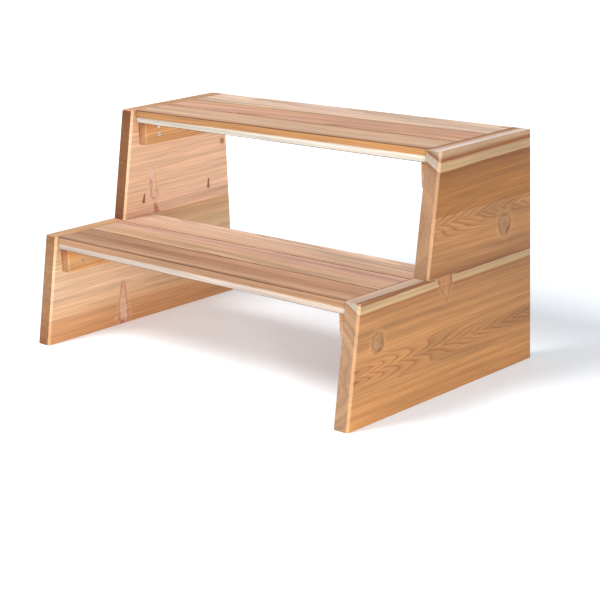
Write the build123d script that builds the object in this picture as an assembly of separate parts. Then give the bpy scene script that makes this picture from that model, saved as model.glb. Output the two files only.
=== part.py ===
from build123d import *
import os
from math import radians, tan

# Cedar spa steps: two treads of three boards each, carried on cleats between a
# pair of stepped sides. Each side is an upper board dowelled on a lower one.
# Millimetres. X runs across the steps, Y from the front (-) to the back (+),
# Z up. The origin is on the floor, midway across and midway front to back.

# ---- driving dimensions ----------------------------------------------------
overall_width = 914.0       # over both sides
lower_board_height = 235.0  # a side is an upper board on a lower one
upper_board_height = 240.0
side_thickness = 38.0
step_going = 237.0          # from the front of one step to the next, on top
front_lean = 10.5           # degrees that the front of a side leans back
front_chamfer = 4.5         # on the two front corners of a side board
eased_edge = 1.0            # on the other open corners of a side board

tread_board_width = 89.0
tread_thickness = 28.0
tread_gap = 1.5             # drainage gap between two boards of a tread
tread_end_gap = 0.5         # between the end of a tread board and the side
upper_tread_setback = 10.0  # tread front edge behind the side's top front edge
lower_tread_setback = 5.5
tread_back_margin = 0.5     # upper tread's back edge to the back of the side
tread_edge_radius = 2.0     # on the long edges of a tread board

cleat_thickness = 24.0
cleat_height = 50.0
cleat_setback = 5.0         # cleat ends inside the tread's front and back edges
cleat_chamfer = 1.5         # on the corners of a cleat that stand free

dowel_radius = 5.0
dowel_length = 60.0
dowel_count = 4             # in each side, across the seam
dowel_margin = 45.0         # from an end of the seam to the first dowel
dowel_clearance = 0.1       # around a dowel
dowel_end_gap = 1.5         # glue room past each end of a dowel

screw_head_radius = 4.25
screw_head_rim = 0.4        # straight rim of the countersunk head
screw_head_height = 2.9
screw_shank_radius = 2.0
screw_point = 5.0           # length of the tapered point
screw_drive_width = 1.1     # one slot of the cross recess
screw_drive_length = 4.6
screw_drive_depth = 1.6
screw_clearance = 0.1       # around a screw
screw_end_gap = 1.0         # hole past the point
screw_head_sink = 0.4       # head below the wood around it

side_screw_bite = 22.0      # length of a cleat screw in the side
side_screw_drop = 30.5      # lower row of cleat screws below the cleat's top
side_screw_pitch = 18.0     # from the lower row up to the upper row
tread_screw_bite = 18.0     # length of a tread screw in the tread
tread_screw_spread = 22.0   # tread screws each side of a board's centre line

# ---- sizes that follow -----------------------------------------------------
tread_names = ("front", "middle", "back")
tread_pitch = tread_board_width + tread_gap
tread_depth = len(tread_names) * tread_pitch - tread_gap
lean = tan(radians(front_lean))
upper_top_depth = tread_depth + upper_tread_setback + tread_back_margin
lower_top_depth = upper_top_depth + step_going
seam_depth = upper_top_depth + upper_board_height * lean
floor_depth = lower_top_depth + lower_board_height * lean
back_y = floor_depth / 2
side_inner_x = overall_width / 2 - side_thickness
tread_length = 2 * (side_inner_x - tread_end_gap)
cleat_length = tread_depth - 2 * cleat_setback
cleat_middle_x = side_inner_x - cleat_thickness / 2

# name of a step: top of its tread, and the tread's front edge
steps = {
    "upper": (lower_board_height + upper_board_height, back_y - upper_top_depth + upper_tread_setback),
    "lower": (lower_board_height, back_y - lower_top_depth + lower_tread_setback),
}
# name of a side: the way outwards along X
sides = {"left": -1, "right": 1}


def board_centres(step):
    """Y of the centre line of each board in a tread, from front to back."""
    first = steps[step][1] + tread_board_width / 2
    return [first + number * tread_pitch for number in range(len(tread_names))]


def cleat_top(step):
    """Z where the tread rests on its cleats."""
    return steps[step][0] - tread_thickness


# ---- fasteners -------------------------------------------------------------
def turned(points):
    """Solid of revolution about Z from (radius, height) points."""
    outline = Plane.XZ * make_face(Polyline(*points, close=True))
    return revolve(outline, axis=Axis.Z, revolution_arc=360)


def screw(length):
    """Countersunk screw, head up with its face at Z = 0, point down."""
    body = turned([
        (0, 0),
        (screw_head_radius, 0),
        (screw_head_radius, -screw_head_rim),
        (screw_shank_radius, -screw_head_height),
        (screw_shank_radius, screw_point - length),
        (0, -length),
    ])
    for size in ((screw_drive_length, screw_drive_width), (screw_drive_width, screw_drive_length)):
        body -= Pos(0, 0, -screw_drive_depth / 2) * Box(*size, screw_drive_depth)
    return body


def screw_hole(length):
    """Space around screw(length), open upwards past the sunk head."""
    head = screw_head_radius + screw_clearance
    shank = screw_shank_radius + screw_clearance
    return turned([
        (0, 2 * screw_head_sink),
        (head, 2 * screw_head_sink),
        (head, -screw_head_rim),
        (shank, -screw_head_height),
        (shank, -length - screw_end_gap),
        (0, -length - screw_end_gap),
    ])


def side_screw_places(step, outward):
    """Places of the cleat screws: head on the cleat, driven outwards.

    A pair stands at the centre of the front and of the back tread board, and a
    single screw at the centre of the middle one.
    """
    head_x = outward * (side_inner_x - cleat_thickness + screw_head_sink)
    low = cleat_top(step) - side_screw_drop
    places = []
    for name, y in zip(tread_names, board_centres(step)):
        rows = [low] if name == "middle" else [low, low + side_screw_pitch]
        places += [Pos(head_x, y, z) * Rot(0, -90 * outward, 0) for z in rows]
    return places


def tread_screw_places(step, outward):
    """Places of the tread screws: head under the cleat, driven upwards."""
    head_z = cleat_top(step) - cleat_height + screw_head_sink
    return [
        Pos(outward * cleat_middle_x, y + shift, head_z) * Rot(180, 0, 0)
        for y in board_centres(step)
        for shift in (-tread_screw_spread, tread_screw_spread)
    ]


side_screw_length = cleat_thickness - screw_head_sink + side_screw_bite
tread_screw_length = cleat_height - screw_head_sink + tread_screw_bite


def group(places, shape):
    """Copies of one shape at several places, as separate solids."""
    return [place * shape for place in places]


def dowel_ys():
    """Y of the dowels across the seam of a side."""
    first = back_y - seam_depth + dowel_margin
    pitch = (seam_depth - 2 * dowel_margin) / (dowel_count - 1)
    return [first + number * pitch for number in range(dowel_count)]


def dowel_places(outward):
    middle_x = outward * (side_inner_x + side_thickness / 2)
    return [Pos(middle_x, y, lower_board_height) for y in dowel_ys()]


# ---- boards ----------------------------------------------------------------
def side_board(outward, bottom_z, height, top_depth, seam):
    """Board of a side, with a leaning front. seam is "top" or "bottom"."""
    top_z = bottom_z + height
    top_front_y = back_y - top_depth
    lean_run = height * lean
    outline = make_face(Polyline(
        (top_front_y - lean_run, bottom_z),
        (back_y, bottom_z),
        (back_y, top_z),
        (top_front_y, top_z),
        close=True,
    ))
    start_x = side_inner_x if outward > 0 else -side_inner_x - side_thickness
    board = extrude(Plane.YZ.offset(start_x) * outline, side_thickness)

    lean_middle = Vector(0, top_front_y - lean_run / 2, bottom_z + height / 2)
    leaning = [
        edge for edge in board.edges()
        if abs(edge.center().Y - lean_middle.Y) < 1 and abs(edge.center().Z - lean_middle.Z) < 1
    ]
    board = chamfer(leaning, front_chamfer)

    rim = board.faces().filter_by(Axis.Z).sort_by(Axis.Z)[-1 if seam == "bottom" else 0].edges()
    uprights = board.edges().filter_by(Axis.Z)
    return chamfer(list(rim) + list(uprights), eased_edge)


def bored(board, tools):
    for tool in tools:
        board -= tool
    return board


def side_boards(side, outward):
    hole = screw_hole(side_screw_length)
    dowel_hole = Cylinder(dowel_radius + dowel_clearance, dowel_length + 2 * dowel_end_gap)
    dowel_holes = group(dowel_places(outward), dowel_hole)
    upper = side_board(outward, lower_board_height, upper_board_height, upper_top_depth, "bottom")
    lower = side_board(outward, 0, lower_board_height, lower_top_depth, "top")
    return {
        f"{side}_side_upper_board": bored(
            upper, dowel_holes + group(side_screw_places("upper", outward), hole)),
        f"{side}_side_lower_board": bored(
            lower, dowel_holes + group(side_screw_places("lower", outward), hole)),
    }


def tread_board(step, centre_y, holes):
    board = Box(tread_length, tread_board_width, tread_thickness)
    board = fillet(board.edges().filter_by(Axis.X), tread_edge_radius)
    board = Pos(0, centre_y, steps[step][0] - tread_thickness / 2) * board
    return bored(board, holes)


def tread_boards(step):
    hole = screw_hole(tread_screw_length)
    holes = [made for outward in sides.values() for made in group(tread_screw_places(step, outward), hole)]
    boards = {}
    for name, centre_y in zip(tread_names, board_centres(step)):
        near = [made for made in holes if abs(made.center().Y - centre_y) < tread_board_width / 2]
        boards[f"{step}_tread_{name}_board"] = tread_board(step, centre_y, near)
    return boards


def cleat(step, outward):
    block = Box(cleat_thickness, cleat_length, cleat_height)
    inner = block.faces().sort_by(Axis.X)[0 if outward > 0 else -1]
    free = [edge for edge in inner.edges() if edge.center().Z < cleat_height / 2 - 1]
    block = chamfer(free, cleat_chamfer)
    middle_y = steps[step][1] + tread_depth / 2
    block = Pos(outward * cleat_middle_x, middle_y, cleat_top(step) - cleat_height / 2) * block
    holes = group(side_screw_places(step, outward), screw_hole(side_screw_length))
    holes += group(tread_screw_places(step, outward), screw_hole(tread_screw_length))
    return bored(block, holes)


# ---- the object ------------------------------------------------------------
nodes = {}
for side, outward in sides.items():
    nodes.update(side_boards(side, outward))
    dowel = Cylinder(dowel_radius, dowel_length)
    nodes[f"{side}_side_dowels"] = Compound(children=group(dowel_places(outward), dowel))
    for step in steps:
        nodes[f"{step}_{side}_cleat"] = cleat(step, outward)
        nodes[f"{step}_{side}_side_screws"] = Compound(
            children=group(side_screw_places(step, outward), screw(side_screw_length)))
        nodes[f"{step}_{side}_tread_screws"] = Compound(
            children=group(tread_screw_places(step, outward), screw(tread_screw_length)))
for step in steps:
    nodes.update(tread_boards(step))

os.makedirs("parts", exist_ok=True)
for name, shape in nodes.items():
    export_step(shape, f"parts/{name}.step")
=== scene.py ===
from math import cos, radians, sin, tan

import bmesh
import bpy
from mathutils import Matrix, Vector


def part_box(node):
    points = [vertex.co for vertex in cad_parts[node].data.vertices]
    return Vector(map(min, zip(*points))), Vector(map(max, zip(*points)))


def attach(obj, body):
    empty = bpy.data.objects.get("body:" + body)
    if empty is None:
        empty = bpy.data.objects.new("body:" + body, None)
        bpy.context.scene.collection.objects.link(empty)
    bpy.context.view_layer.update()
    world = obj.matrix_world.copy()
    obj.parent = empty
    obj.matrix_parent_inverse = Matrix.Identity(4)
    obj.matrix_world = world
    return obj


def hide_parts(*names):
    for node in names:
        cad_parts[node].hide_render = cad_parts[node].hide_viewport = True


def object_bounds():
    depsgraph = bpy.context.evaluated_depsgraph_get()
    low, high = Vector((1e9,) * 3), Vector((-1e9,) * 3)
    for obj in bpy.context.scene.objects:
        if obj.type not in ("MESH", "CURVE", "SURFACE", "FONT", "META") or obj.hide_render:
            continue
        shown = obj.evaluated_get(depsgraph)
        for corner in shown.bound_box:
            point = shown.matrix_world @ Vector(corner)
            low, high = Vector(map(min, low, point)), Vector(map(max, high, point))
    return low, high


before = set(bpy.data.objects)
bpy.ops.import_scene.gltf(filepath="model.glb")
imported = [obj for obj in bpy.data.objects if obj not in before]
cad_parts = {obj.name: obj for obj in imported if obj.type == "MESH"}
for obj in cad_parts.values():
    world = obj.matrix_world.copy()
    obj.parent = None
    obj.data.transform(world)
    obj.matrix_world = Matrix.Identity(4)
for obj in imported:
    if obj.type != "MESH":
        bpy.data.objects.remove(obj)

cad_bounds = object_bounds()

# Cedar spa steps: X runs across the steps, Y from the front (-) to the back (+), Z up.
# Lengths of the wood are written in millimetres and turned into metres with MM. The
# studio is in metres.
MM = 0.001

SIDES = ("left", "right")
STEPS = ("upper", "lower")

# ---- joinery ---------------------------------------------------------------
FRONT_LEAN = radians(10.5)
FRONT_CHAMFER = 4.5 * MM      # on the leaning front corners of the sides
SIDE_EASE = 1.2 * MM          # sanded round on the open corners of the sides
SEAM_EASE = 0.15 * MM         # only a hair, so that the glue line stays tight
CHAMFER_EASE = 0.5 * MM       # takes the sharpness off the two edges of a chamfer
TREAD_ROUND = 1.6 * MM        # on the long edges of a tread board
TREAD_END_EASE = 0.6 * MM
SMOOTHING = radians(40)       # an edge that bends less than this is shaded smooth

NEAR = 0.01 * MM              # places closer than this count as the same
ALONG = 0.9                   # a direction has at least this on the axis that it runs along
UPRIGHT = 0.9999              # an edge whose direction is less than this on Z leans
FLAT = 0.93                   # the normal of a broad face has at least this on one axis


def on_its_own(piece):
    """Makes piece the only thing selected, so that an operator acts on it alone."""
    bpy.ops.object.select_all(action="DESELECT")
    piece.select_set(True)
    bpy.context.view_layer.objects.active = piece


def block(name, low, high):
    """A sawn block from its lowest to its highest corner."""
    bpy.ops.object.select_all(action="DESELECT")
    bpy.ops.mesh.primitive_cube_add(size=1, location=(low + high) / 2, scale=high - low)
    piece = bpy.context.object
    piece.name = piece.data.name = name
    bpy.ops.object.transform_apply(location=True, rotation=True, scale=True)
    return piece


def pick_edges(piece, wanted):
    """Selects in edit mode the edges for which wanted(middle, direction) holds."""
    on_its_own(piece)
    bpy.ops.object.mode_set(mode="EDIT")
    bpy.ops.mesh.select_mode(type="EDGE")
    bpy.ops.mesh.select_all(action="DESELECT")
    shape = bmesh.from_edit_mesh(piece.data)
    for edge in shape.edges:
        start, end = (corner.co for corner in edge.verts)
        edge.select_set(wanted((start + end) / 2, (end - start).normalized()))
    bmesh.update_edit_mesh(piece.data)


def bevel_edges(piece, wanted, width, segments):
    """Bevels the edges that pick_edges finds. One segment makes a chamfer."""
    pick_edges(piece, wanted)
    bpy.ops.mesh.bevel(offset=width, segments=segments, affect="EDGES")
    bpy.ops.object.mode_set(mode="OBJECT")


def finish_wood(piece):
    """Smooth shading round the eased edges, with the broad faces kept flat."""
    on_its_own(piece)
    bpy.ops.object.shade_smooth_by_angle(angle=SMOOTHING)
    piece.modifiers.new("flat faces", "WEIGHTED_NORMAL").keep_sharp = True
    bpy.ops.object.modifier_apply(modifier="flat faces")


def mark_faces(piece, name, wanted):
    """Gives each face a mark of 1 where wanted(face) holds, for the material to read."""
    marks = piece.data.attributes.new(name, "FLOAT", "FACE")
    for face, mark in zip(piece.data.polygons, marks.data):
        mark.value = float(wanted(face))


def is_eased(face):
    """Whether a face belongs to a chamfer or a rounded edge."""
    return max(abs(part) for part in face.normal) < FLAT


def near(value, target):
    return abs(value - target) < NEAR


def side_board(node):
    """Board of a side: its front leans back, and the leaning corners are chamfered."""
    low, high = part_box(node)
    is_upper = "upper" in node
    piece = block(node.replace("side", "stepped_side"), low, high)
    lean_run = (high.z - low.z) * tan(FRONT_LEAN)

    pick_edges(piece, lambda middle, way: near(middle.y, low.y) and near(middle.z, high.z))
    bpy.ops.transform.translate(value=(0, lean_run, 0))
    bpy.ops.object.mode_set(mode="OBJECT")

    front_y = low.y + lean_run / 2
    seam_z, open_z = (low.z, high.z) if is_upper else (high.z, low.z)

    def is_leaning(middle, way):
        return abs(middle.y - front_y) < 1 * MM and abs(way.z) > ALONG

    def is_chamfer_edge(middle, way):
        return middle.y < front_y + lean_run and ALONG < abs(way.z) < UPRIGHT

    def is_open(middle, way):
        return near(middle.z, open_z) or (near(middle.y, high.y) and abs(way.z) > ALONG)

    bevel_edges(piece, is_leaning, FRONT_CHAMFER, 1)
    bevel_edges(piece, is_chamfer_edge, CHAMFER_EASE, 2)
    bevel_edges(piece, is_open, SIDE_EASE, 3)
    bevel_edges(piece, lambda middle, way: near(middle.z, seam_z), SEAM_EASE, 1)
    finish_wood(piece)
    # painted highlight: the chamfers and rounded corners, all but the seam, are marked to be painted paler
    mark_faces(piece, "painted_edge_highlight", lambda face: is_eased(face) and abs(face.center.z - seam_z) > 1 * MM)
    return piece


def tread_board(node):
    """Board of a tread: rounded along its length, with shade painted dark on its rounded edges and into the
    joints.
    """
    low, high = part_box(node)
    piece = block(node + "_planed", low, high)
    bevel_edges(piece, lambda middle, way: abs(way.x) > ALONG, TREAD_ROUND, 5)
    bevel_edges(piece, lambda middle, way: near(middle.x, low.x) or near(middle.x, high.x),
                TREAD_END_EASE, 2)
    finish_wood(piece)
    open_y = {"front": low.y, "middle": None, "back": high.y}[node.split("_")[2]]

    def is_in_joint(face):
        is_long_edge = abs(face.normal.y) > ALONG
        return is_long_edge and (open_y is None or not near(face.center.y, open_y))

    # painted shade: the rounded edges and the faces in the joints are marked so that the material darkens
    # them for the shade that falls there
    mark_faces(piece, "painted_joint_shade", lambda face: is_eased(face) or is_in_joint(face))
    return piece


# ---- materials -------------------------------------------------------------
class Value:
    """A socket of a node tree. Arithmetic on it adds Math nodes."""

    def __init__(self, tree, socket):
        self.tree = tree
        self.socket = socket

    def math(self, operation, *terms):
        return self.tree.node("Math", {"operation": operation}, dict(enumerate(terms)))

    def __add__(self, other):
        return self.math("ADD", self, other)

    __radd__ = __add__

    def __mul__(self, other):
        return self.math("MULTIPLY", self, other)

    __rmul__ = __mul__

    def __sub__(self, other):
        return self.math("SUBTRACT", self, other)

    def __rsub__(self, other):
        return self.math("SUBTRACT", other, self)

    def __truediv__(self, other):
        return self.math("DIVIDE", self, other)

    def __pow__(self, other):
        return self.math("POWER", self, other)

    def size(self):
        """Its value without its sign."""
        return self.math("ABSOLUTE", self)

    def rise(self, low, high):
        """0 below low and 1 above high, smoothly between."""
        settings = {"interpolation_type": "SMOOTHSTEP"}
        return self.tree.node("MapRange", settings, {0: self, 1: low, 2: high, 3: 0, 4: 1})


class Tree:
    """The node tree of one material."""

    def __init__(self, name):
        self.material = bpy.data.materials.new(name)
        self.material.use_nodes = True
        self.material.node_tree.nodes.clear()

    def node(self, kind, settings=None, inputs=None, output=0):
        """Adds a node: its settings are made first, then its sockets are set or linked."""
        made = self.material.node_tree.nodes.new("ShaderNode" + kind)
        for key, value in (settings or {}).items():
            if key == "stops":
                self.set_stops(made.color_ramp, value)
            else:
                setattr(made, key, value)
        for key, value in (inputs or {}).items():
            if isinstance(value, Value):
                self.material.node_tree.links.new(value.socket, made.inputs[key])
            else:
                made.inputs[key].default_value = value
        return Value(self, made.outputs[output]) if len(made.outputs) else None

    @staticmethod
    def set_stops(ramp, stops):
        for number, (position, colour) in enumerate(stops):
            stop = ramp.elements[number] if number < 2 else ramp.elements.new(position)
            stop.position = position
            stop.color = colour

    def vector(self, operation, *terms, output=0):
        return self.node("VectorMath", {"operation": operation}, dict(enumerate(terms)), output)

    def noise(self, vector, scale, detail=2.0, stretch=(1, 1, 1), shift=(0, 0, 0)):
        """Noise from -0.5 to 0.5 on vector, squeezed by stretch and moved by shift."""
        placed = self.node("Mapping", {}, {0: vector, 1: shift, 3: stretch})
        return self.node("TexNoise", {}, {"Vector": placed, "Scale": scale, "Detail": detail}) - 0.5

    def mix(self, factor, first, second, blend="MIX"):
        settings = {"data_type": "RGBA", "blend_type": blend}
        return self.node("Mix", settings, {0: factor, 6: first, 7: second}, output=2)

    def surface(self, inputs):
        shader = self.node("BsdfPrincipled", {}, inputs)
        self.node("OutputMaterial", {}, {"Surface": shader})
        return self.material


def tone(red, green, blue):
    """Colour of a swatch, from its 0 to 255 display values."""
    linear = [((part / 255 + 0.055) / 1.055) ** 2.4 for part in (red, green, blue)]
    return (*linear, 1.0)


def grey(level):
    return (level, level, level, 1.0)


GREY_SAPWOOD = tone(214, 190, 166)
STRAW = tone(226, 186, 146)
HONEY = tone(216, 164, 120)
ORANGE = tone(206, 144, 92)
TAN = tone(202, 152, 112)
BROWN = tone(184, 128, 90)
UMBER = tone(150, 98, 66)
RUSSET = tone(166, 112, 74)
PEACH = tone(232, 188, 154)
ROSE = tone(208, 152, 126)
ASH = tone(206, 178, 160)
# pale tone of the painted highlight on the sides' chamfers and rounded corners
EDGE_HIGHLIGHT_TONE = tone(226, 188, 148)
GREY_KNOT, GREY_RIM = tone(206, 168, 138), tone(134, 94, 70)
BROWN_KNOT, BROWN_RIM = tone(214, 162, 126), tone(152, 102, 70)
PINK_KNOT, PINK_RIM = tone(232, 192, 168), tone(190, 116, 86)
DARK_KNOT, DARK_RIM = tone(122, 74, 50), tone(150, 92, 62)
TREAD_ORANGE = tone(173, 121, 67)
TREAD_HONEY = tone(168, 120, 80)
CREAM = tone(204, 193, 169)
WARM_CREAM = tone(197, 171, 145)
LATE_TINT = (0.62, 0.47, 0.35, 1.0)
# tint of the painted shade on the treads' rounded edges and joints
JOINT_SHADE_TINT = (0.26, 0.16, 0.10, 1.0)
BLACK, WHITE = grey(0.0), grey(1.0)

# ---- how cedar grows -------------------------------------------------------
# patterns in the wood, in waves to the metre along the board, across it and up
BEND = (2.2, 4, 4)            # slow bends of the log
RIPPLE = (13, 55, 55)         # small waves of the rings
CLOUD = (5, 14, 14)           # lighter and darker areas
LINES = (3, 130, 130)         # fine dark lines along the grain
FIBRE = (10, 420, 420)
FRAY = (150, 150, 60)         # ragged outline of a knot, on X, Y and Z
BLOTCH = 42                   # stains in and round a knot, in waves to the metre

RIPPLE_SIZE = 2.4 * MM
CREST_CORE = 8 * MM           # an arrowhead is whole this near to the height of the pith
CREST_EDGE = 34 * MM          # and has faded away here
CREST_TIP = 9 * MM            # how blunt its point is
KNOT_BLEND = 70 * MM          # how gently the rings turn aside for a knot
STRIP_EDGE = 1 * MM
STRIP_BEND, STRIP_RIPPLE = 8 * MM, 3 * MM
TURNED = (0.75, 0.96)         # a face counts as turned to an axis between these parts of its normal
EDGE_HIGHLIGHT_SHARE = 0.2            # how far the painted highlight takes the chamfers and rounded corners towards its pale tone
JOINT_SHADE_SHARE = 0.9               # how strongly the painted shade darkens the rounded edges and joints of the treads
GRAIN_DEPTH = 0.25 * MM
# dark latewood through one ring: it comes on slowly and ends at once
LATEWOOD = [(0.0, BLACK), (0.5, grey(0.1)), (0.84, grey(0.7)), (0.94, WHITE), (1.0, BLACK)]


def knot_reach(tree, place, start, end, start_radius, end_radius):
    """Distance from a branch's core, as a share of the branch's radius."""
    start, end = Vector(start) * MM, Vector(end) * MM
    core = end - start
    from_start = tree.vector("SUBTRACT", place, start)
    share = tree.vector("DOT_PRODUCT", from_start, core / core.length_squared, output=1)
    share = tree.node("Clamp", {}, {0: share})
    on_core = tree.node("VectorMath", {"operation": "SCALE"}, {0: core, "Scale": share})
    distance = tree.vector("DISTANCE", from_start, on_core, output=1)
    return distance / (start_radius * MM + share * ((end_radius - start_radius) * MM))


def knotted(tree, colour, reach, blotch, heart, rim):
    """Colour with a knot laid in it: its heart with fine rings, its dark rim, and pale wood round it."""
    knot_rings = tree.node("Math", {"operation": "SINE"}, {0: reach * 26 + blotch * 9})
    halo = 1 - (reach - 1.35).size().rise(0.05, 0.50)
    edge = (1 - (reach - 0.93).size().rise(0.02, 0.30)) * (0.50 + blotch * 2.4)
    inside = tree.mix(0.26 + knot_rings * 0.14 + blotch * 1.3, heart, rim)
    colour = tree.mix(halo * 0.25, colour, STRAW)
    colour = tree.mix((1 - reach.rise(0.60, 1.20)) * 0.9, colour, inside)
    return tree.mix(edge, colour, rim)


def crested(radius, along, off_crest, crest):
    """Radius that makes a row of arrowheads at the height of the pith, and where they are."""
    peak, climb, middle = crest
    on_crest = 1 - off_crest.rise(CREST_CORE, CREST_EDGE)
    radius = radius + peak * MM * (off_crest / (off_crest + CREST_TIP))
    return radius - (along - middle * MM) * climb * on_crest, on_crest


def latewood(tree, radius, along, ring, seed):
    """The dark line of each ring, from 0 to 1. The rings are wider in some years."""
    years = tree.node("CombineXYZ", {}, {0: radius * 60, 1: along * 0.5, 2: seed})
    spacing = tree.noise(years, 1, 1)
    phase = tree.node("Math", {"operation": "FRACT"}, {0: radius / (ring * MM) + spacing * 2.4})
    return tree.node("ValToRGB", {"stops": LATEWOOD}, {0: phase})


def grown(tree, radius, growth):
    """Tone of the wood at its distance from the pith."""
    inner, outer = growth[0][0], growth[-1][0]
    stops = [((distance - inner) / (outer - inner), colour) for distance, colour in growth]
    return tree.node("ValToRGB", {"stops": stops}, {0: (radius / MM - inner) / (outer - inner)})


def stripped(tree, colour, height, share, strip):
    """Colour with a paler or darker run laid along the board between two heights."""
    low, high, tint = strip
    above_low = height.rise(low * MM - STRIP_EDGE, low * MM + STRIP_EDGE)
    above_high = height.rise(high * MM - STRIP_EDGE, high * MM + STRIP_EDGE)
    return tree.mix((above_low - above_high) * share, colour, (*tint, 1), "MULTIPLY")


def cedar(name, grain, pith, growth, drift=(0, 0), knots=(), ring=2.5, seed=0, wander=5, crest=None,
          late_depth=0.6, streak=0.8, strip=None, wash=(1, 1, 1), end_wash=(0.86, 0.76, 0.68),
          top_wash=(1, 1, 1)):
    """Oiled red cedar as solid wood, so that every face shows the rings it cuts.

    grain: axis that the board runs along
    pith: where the heart of the log runs, across and up
    growth: tones by distance from the pith
    drift: how far the pith strays across and up for each unit along
    knots: branches as start, end, the radius at each, and the tones of heart and rim
    ring: width of a ring
    wander: how far the rings stray
    crest: how much the rings peak at the pith's height, their climb along it, and from where
    late_depth, streak: how dark the latewood is, and how strong the streaks are
    strip: lower and upper height of a run along the board, and its tint
    wash, end_wash, top_wash: colour corrections of the whole board, of its end grain and of its top, chosen
    by measure for how each face shows under these lamps. They aren't properties of the wood.
    """
    tree = Tree(name)
    place = tree.node("TexCoord", output="Object")
    axes = [tree.node("SeparateXYZ", {}, {0: place}, output=number) for number in range(3)]
    along, across, up = (axes[0], axes[1], axes[2]) if grain == "X" else (axes[1], axes[0], axes[2])
    lengthwise = tree.node("CombineXYZ", {}, {0: along, 1: across, 2: up})
    shift = (seed * 1.7, seed * 0.9, seed * 2.3)

    bend = tree.noise(lengthwise, 1, 2, BEND, shift)
    ripple = tree.noise(lengthwise, 1, 2, RIPPLE, shift)
    from_pith_across = across - pith[0] * MM - along * drift[0]
    from_pith_up = up - pith[1] * MM - along * drift[1]
    radius = (from_pith_across ** 2 + from_pith_up ** 2) ** 0.5
    radius = radius + bend * (2 * wander * MM) + ripple * RIPPLE_SIZE
    on_crest = 0.5
    if crest:
        radius, on_crest = crested(radius, along, from_pith_up.size(), crest)

    blotch = tree.noise(place, BLOTCH, 4)
    fray = tree.noise(place, 1, 3, FRAY)
    reaches = []
    for *branch, heart, rim in knots:
        reach = knot_reach(tree, place, *branch) + ripple * 0.3 + blotch * 0.8 + fray * 0.5
        reaches.append((reach, heart, rim))
        settings = {"operation": "SMOOTH_MIN"}
        radius = tree.node("Math", settings, {0: radius, 1: radius * reach, 2: KNOT_BLEND})

    bands = tree.noise(tree.node("CombineXYZ", {}, {0: radius * 150, 1: along * 1.6, 2: seed}), 1, 3)
    fibre = tree.noise(lengthwise, 1, 4, FIBRE, shift)
    cloud = tree.noise(lengthwise, 1, 2, CLOUD, shift)
    lines = tree.noise(lengthwise, 1, 3, LINES, shift)
    facing = tree.node("TexCoord", output="Normal")
    facing_end = tree.node("SeparateXYZ", {}, {0: facing}, output=0 if grain == "X" else 1)
    end_grain = facing_end.size().rise(*TURNED)
    facing_up = tree.node("SeparateXYZ", {}, {0: facing}, output=2).rise(*TURNED)

    late = latewood(tree, radius, along, ring, seed)
    late_here = late * (1 + cloud * 1.6) * (0.5 + on_crest) * late_depth
    colour = grown(tree, radius, growth)
    colour = tree.mix(1.0, colour, 1 + bands * streak + lines * 0.45 + cloud * 0.25, "MULTIPLY")
    colour = tree.mix(late_here, colour, LATE_TINT, "MULTIPLY")
    if strip:
        height = up + bend * STRIP_BEND + ripple * STRIP_RIPPLE
        colour = stripped(tree, colour, height, 1 - end_grain, strip)
    for reach, heart, rim in reaches:
        colour = knotted(tree, colour, reach, blotch + fray * 0.5, heart, rim)
    colour = tree.mix(1.0, colour, 1 + fibre * 0.7, "MULTIPLY")

    painted_edge_highlight = tree.node("Attribute", {"attribute_name": "painted_edge_highlight"}, output=2)
    painted_joint_shade = tree.node("Attribute", {"attribute_name": "painted_joint_shade"}, output=2)
    # the washes below are set for how each face shows under these lamps, so in part they paint light and
    # shade
    colour = tree.mix(1.0, colour, (*wash, 1), "MULTIPLY")
    colour = tree.mix(end_grain, colour, (*end_wash, 1), "MULTIPLY")
    # painted sheen: faces that point up are made paler and greyer for the glare that the tops show under
    # the lamps
    colour = tree.mix(facing_up, colour, (*top_wash, 1), "MULTIPLY")
    # painted highlight on the marked chamfers and rounded corners of the sides
    colour = tree.mix(painted_edge_highlight * EDGE_HIGHLIGHT_SHARE, colour, EDGE_HIGHLIGHT_TONE)
    # painted shade on the marked rounded edges and joints of the treads
    colour = tree.mix(painted_joint_shade * JOINT_SHADE_SHARE, colour, JOINT_SHADE_TINT, "MULTIPLY")

    relief = late * 0.6 + fibre * 0.9
    bump = tree.node("Bump", {}, {"Strength": 0.35, "Distance": GRAIN_DEPTH, "Height": relief})
    rough = 0.52 + late * 0.08 + fibre * 0.16 + end_grain * 0.12
    return tree.surface({"Base Color": colour, "Roughness": rough, "Normal": bump,
                         "Specular IOR Level": 0.35})


def screw_steel():
    """Bright stainless steel with fine scratches, and dulled in places by handling."""
    tree = Tree("screw_steel_bright")
    place = tree.node("TexCoord", output="Object")
    scratches = tree.noise(place, 2600, 2)
    smudge = tree.noise(place, 180, 2)
    colour = tree.mix(0.5 + smudge, tone(214, 212, 206), tone(170, 168, 164))
    bump = tree.node("Bump", {}, {"Strength": 0.2, "Distance": 0.05 * MM, "Height": scratches})
    return tree.surface({"Base Color": colour, "Metallic": 1.0, "Roughness": 0.28 + smudge * 0.2,
                         "Normal": bump})


def dowel_wood():
    """Pale turned hardwood with a straight, close grain."""
    tree = Tree("dowel_beech")
    place = tree.node("TexCoord", output="Object")
    streak = tree.noise(place, 1, 3, (700, 700, 24))
    colour = tree.mix(0.5 + streak, tone(206, 172, 128), tone(228, 198, 156))
    bump = tree.node("Bump", {}, {"Strength": 0.3, "Distance": 0.1 * MM, "Height": streak})
    return tree.surface({"Base Color": colour, "Roughness": 0.6 + streak * 0.2, "Normal": bump})


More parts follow.
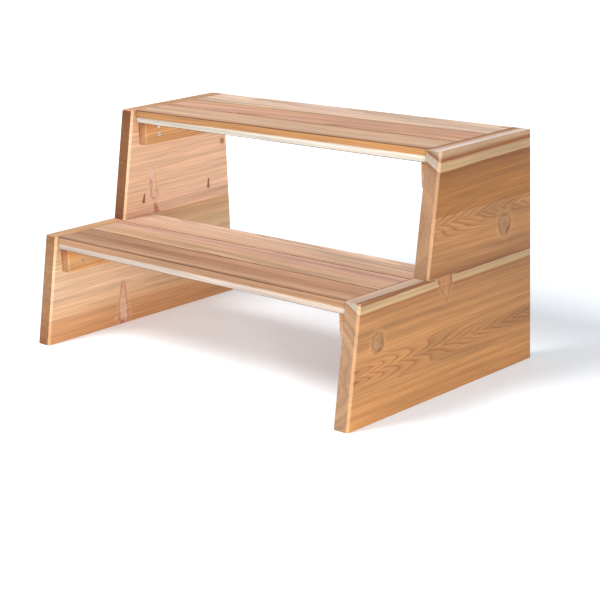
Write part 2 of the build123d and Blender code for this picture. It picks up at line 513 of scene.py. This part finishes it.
# ---- the log that each board was sawn from, as cedar() takes it ------------
SIDE_WOOD = {
    "right_side_upper_board": {
        "pith": (373, 335), "drift": (0.03, 0), "seed": 3, "wander": 2.5, "crest": (4, 0.055, 70),
        "late_depth": 0.62, "streak": 1.05,
        "strip": (350, 438, (0.83, 0.73, 0.48)),
        "growth": [(60, TAN), (88, HONEY), (104, TAN), (118, TAN), (131, BROWN), (133, RUSSET),
                   (135, GREY_SAPWOOD), (147, GREY_SAPWOOD), (149, ORANGE), (151, UMBER), (154, BROWN),
                   (157, ASH), (175, ASH)],
        "knots": [((373, 195, 335), (480, 195, 290), 16, 19, GREY_KNOT, GREY_RIM)],
        "wash": (0.55, 0.47, 0.324), "end_wash": (0.81, 0.99, 1.49), "top_wash": (1.96, 2.6, 4.25),
    },
    "right_side_lower_board": {
        "pith": (373, 100), "drift": (0.01, 0), "seed": 11, "wander": 2.5, "crest": (4, 0.045, 60),
        "late_depth": 0.62, "streak": 1.05,
        "growth": [(60, TAN), (96, HONEY), (112, TAN), (138, TAN), (146, BROWN), (149, GREY_SAPWOOD),
                   (158.5, GREY_SAPWOOD), (160, UMBER), (163, BROWN), (167, ASH), (185, ASH)],
        "knots": [((455, 6, 252), (455, 12, 180), 30, 2, BROWN_KNOT, BROWN_RIM),
                  ((380, -190, 128), (480, -190, 158), 14, 17, GREY_KNOT, GREY_RIM)],
        "strip": (-20, 55, (1.31, 1.31, 1.27)),
        "wash": (0.58, 0.50, 0.34), "end_wash": (0.84, 1.035, 1.59), "top_wash": (1.23, 1.34, 2.0),
    },
    "left_side_upper_board": {
        "pith": (-447, 222), "drift": (0.01, 0.02), "seed": 21, "wander": 8,
        "late_depth": 0.35, "streak": 0.85,
        "growth": [(0, ROSE), (60, PEACH), (120, PEACH), (200, PEACH), (250, TAN)],
        "knots": [((-424, 49, 278), (-422, 44, 338), 12, 7, PINK_KNOT, PINK_RIM),
                  ((-424, 52, 238), (-420, 50, 252), 9, 5, PINK_RIM, PINK_RIM),
                  ((-419, 16, 266), (-419, 20, 282), 4, 2, DARK_KNOT, DARK_RIM),
                  ((-419, 216, 266), (-419, 218, 284), 4, 2, DARK_KNOT, DARK_RIM),
                  ((-440, 262, 366), (-400, 272, 366), 7, 7, PINK_RIM, DARK_RIM)],
        "wash": (0.98, 1.01, 1.02), "end_wash": (0.22, 0.13, 0.056),
    },
    "left_side_lower_board": {
        "pith": (-450, -12), "drift": (0.01, 0.01), "seed": 33, "wander": 8,
        "late_depth": 0.35, "streak": 0.85,
        "strip": (-20, 52, (0.93, 0.84, 0.76)),
        "growth": [(0, ORANGE), (60, HONEY), (120, PEACH), (180, STRAW), (250, HONEY)],
        "knots": [((-424, -66, 14), (-422, -60, 92), 16, 7, PINK_KNOT, PINK_RIM),
                  ((-430, -70, 2), (-410, -70, 2), 8, 8, PINK_RIM, PINK_RIM)],
        "wash": (0.885, 0.92, 0.91), "end_wash": (0.415, 0.32, 0.235),
    },
}


def paint(piece, material):
    piece.data.materials.clear()
    piece.data.materials.append(material)


def sides():
    """The four side boards, each sawn from its own log."""
    for side in SIDES:
        for step in STEPS:
            node = f"{side}_side_{step}_board"
            piece = side_board(node)
            paint(piece, cedar(f"cedar_{node}", "Y", **SIDE_WOOD[node]))
            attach(piece, "root")
            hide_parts(node)


# tread board: the pith from the board's middle, across and up, and the tones by distance from it
TREAD_WOOD = {
    "upper_tread_front_board": ((70, 150), [(130, TAN), (160, STRAW), (174, TAN), (178, TREAD_ORANGE),
                                            (188.5, TREAD_ORANGE), (191.5, CREAM), (205, CREAM)]),
    "upper_tread_middle_board": ((-40, -140), [(120, ROSE), (140, TAN), (158, ROSE), (180, TAN)]),
    "upper_tread_back_board": ((30, -190), [(170, STRAW), (190, HONEY), (200, STRAW), (208, PEACH),
                                            (215, STRAW)]),
    "lower_tread_front_board": ((70, 150), [(130, TAN), (150, BROWN), (170, TAN), (178, TREAD_HONEY),
                                            (188.5, TREAD_HONEY), (191.5, WARM_CREAM), (205, WARM_CREAM)]),
    "lower_tread_middle_board": ((-60, 160), [(140, HONEY), (155, TAN), (170, ROSE), (190, HONEY)]),
    "lower_tread_back_board": ((50, -170), [(140, STRAW), (165, HONEY), (185, STRAW), (210, HONEY)]),
}
FRONT_DRIFT = (0.001, 0)      # so that the pale edge of a front board keeps its width
TREAD_DRIFT = (0.012, 0.01)   # of the other boards
TREAD_WASH = {
    "upper_tread_front_board": (0.89, 0.94, 1.10),
    "upper_tread_middle_board": (1.01, 1.12, 1.17),
    "upper_tread_back_board": (0.97, 1.11, 1.35),
    "lower_tread_front_board": (0.85, 0.97, 1.18),
    "lower_tread_middle_board": (0.94, 1.15, 1.41),
    "lower_tread_back_board": (0.91, 1.03, 1.33),
}


def treads():
    """The six tread boards, each sawn from its own log."""
    for number, (node, (pith, growth)) in enumerate(TREAD_WOOD.items()):
        low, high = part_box(node)
        middle = (low + high) / 2 / MM
        place = (middle.y + pith[0], middle.z + pith[1])
        piece = tread_board(node)
        drift = FRONT_DRIFT if "front" in node else TREAD_DRIFT
        paint(piece, cedar(f"cedar_{node}", "X", place, growth, drift=drift, seed=40 + 7 * number, wander=2,
                           late_depth=0.75, streak=1.25, wash=TREAD_WASH[node]))
        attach(piece, "root")
        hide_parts(node)


CLEAT_PITH = (45, -60)        # from the cleat's middle
CLEAT_GROWTH = [(40, HONEY), (70, STRAW), (90, ORANGE), (120, HONEY)]
CLEAT_RING = 4.2
# colour corrections of the cleats for how they show in the shade under the treads and in the orange light
# bounced from the wood, so in part painted light and shade
CLEAT_WASH = {"left": (0.93, 0.81, 0.60), "right": (0.78, 0.66, 0.62)}
CLEAT_END_WASH = {"left": (0.60, 0.60, 0.70), "right": (0.95, 1.2, 1.6)}


def cleats():
    """The CAD cleats as they are, in coarser cedar."""
    for number, (side, step) in enumerate((side, step) for side in SIDES for step in STEPS):
        node = f"{step}_{side}_cleat"
        low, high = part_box(node)
        middle = (low + high) / 2 / MM
        place = (middle.x + CLEAT_PITH[0], middle.z + CLEAT_PITH[1])
        material = cedar(f"cedar_{node}", "Y", place, CLEAT_GROWTH, drift=(0.05, 0.04), ring=CLEAT_RING,
                         seed=90 + 5 * number, late_depth=0.9, wash=CLEAT_WASH[side],
                         end_wash=CLEAT_END_WASH[side])
        paint(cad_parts[node], material)


def hardware():
    """The CAD screws and dowels as they are, in steel and beech."""
    steel, beech = screw_steel(), dowel_wood()
    for name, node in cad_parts.items():
        if "screws" in name:
            paint(node, steel)
        elif "dowels" in name:
            paint(node, beech)


# ---- studio ----------------------------------------------------------------
VIEW_BEARING = radians(44.29)     # round from straight in front, towards the right
VIEW_HEIGHT = radians(15.97)
VIEW_ROLL = radians(-2.24)
VIEW_DISTANCE = 3.418
VIEW_AIM = Vector((0.063, 0.014, -0.1195))   # from the middle of the steps
LENS = 98.44
CLIP_END = 100

# lamps: name, place, diameter and watts
LAMPS = (
    ("key_from_front_left", (-1.0, -2.1, 3.3), 1.8, 132),
    ("low_softbox_front_right", (2.2, -1.3, 0.75), 0.3, 18),
    ("low_fill_right", (2.3, -1.9, 0.32), 0.6, 30),
)
LAMP_AIM = (0, 0, 0.2)
WORLD_STRENGTH = 0.45

FLOOR_SIZE = 60
FLOOR_DROP = 0.2 * MM         # keeps the floor clear of the feet
GLOW_NEAR, GLOW_FAR = 0.55, 2.8   # the floor's glow grows between these distances
NEAR_GLOW, FAR_GLOW = (0.21, 0.235, 0.26, 1), grey(0.85)


def camera():
    """Long lens from the front right, a little above the steps and turned slightly."""
    low, high = cad_bounds
    aim = (Vector(low) + Vector(high)) / 2 + VIEW_AIM
    outwards = Vector((sin(VIEW_BEARING) * cos(VIEW_HEIGHT), -cos(VIEW_BEARING) * cos(VIEW_HEIGHT),
                       sin(VIEW_HEIGHT)))
    bpy.ops.object.camera_add()
    eye = bpy.context.object
    eye.name = "camera"
    eye.data.lens = LENS
    eye.data.clip_end = CLIP_END
    turn = (-outwards).to_track_quat("-Z", "Y").to_matrix() @ Matrix.Rotation(VIEW_ROLL, 3, "Z")
    eye.matrix_world = Matrix.Translation(aim + outwards * VIEW_DISTANCE) @ turn.to_4x4()
    bpy.context.scene.camera = eye


def area_light(name, place, size, power):
    """Round lamp that points at the steps and isn't seen itself."""
    bpy.ops.object.light_add(type="AREA", location=place)
    lamp = bpy.context.object
    lamp.name = name
    lamp.data.shape = "DISK"
    lamp.data.size = size
    lamp.data.energy = power
    lamp.visible_camera = False
    lamp.rotation_euler = (Vector(LAMP_AIM) - Vector(place)).to_track_quat("-Z", "Y").to_euler()


def white_sweep():
    """Floor that shows pure white away from the steps' shadow."""
    tree = Tree("white_sweep")
    place = tree.node("TexCoord", output="Object")
    speckle = tree.noise(place, 40, 2)
    white = tree.mix(0.5 + speckle, (0.86, 0.89, 0.92, 1), (0.88, 0.91, 0.94, 1))
    distance = tree.vector("LENGTH", place, output=1)
    glow = tree.mix(distance.rise(GLOW_NEAR, GLOW_FAR), NEAR_GLOW, FAR_GLOW)
    return tree.surface({"Base Color": white, "Roughness": 0.9, "Emission Color": glow,
                         "Emission Strength": 1.0, "Specular IOR Level": 0.0})


def studio():
    """White floor, white surroundings and the lamps."""
    bpy.ops.mesh.primitive_plane_add(size=FLOOR_SIZE, location=(0, 0, -FLOOR_DROP))
    floor = bpy.context.object
    floor.name = "studio_floor"
    paint(floor, white_sweep())

    world = bpy.data.worlds.new("white_studio")
    world.use_nodes = True
    world.node_tree.nodes["Background"].inputs["Color"].default_value = WHITE
    world.node_tree.nodes["Background"].inputs["Strength"].default_value = WORLD_STRENGTH
    bpy.context.scene.world = world
    for lamp in LAMPS:
        area_light(*lamp)
    bpy.context.scene.view_settings.view_transform = "Standard"


camera()
sides()
treads()
cleats()
hardware()
studio()

bpy.context.view_layer.update()
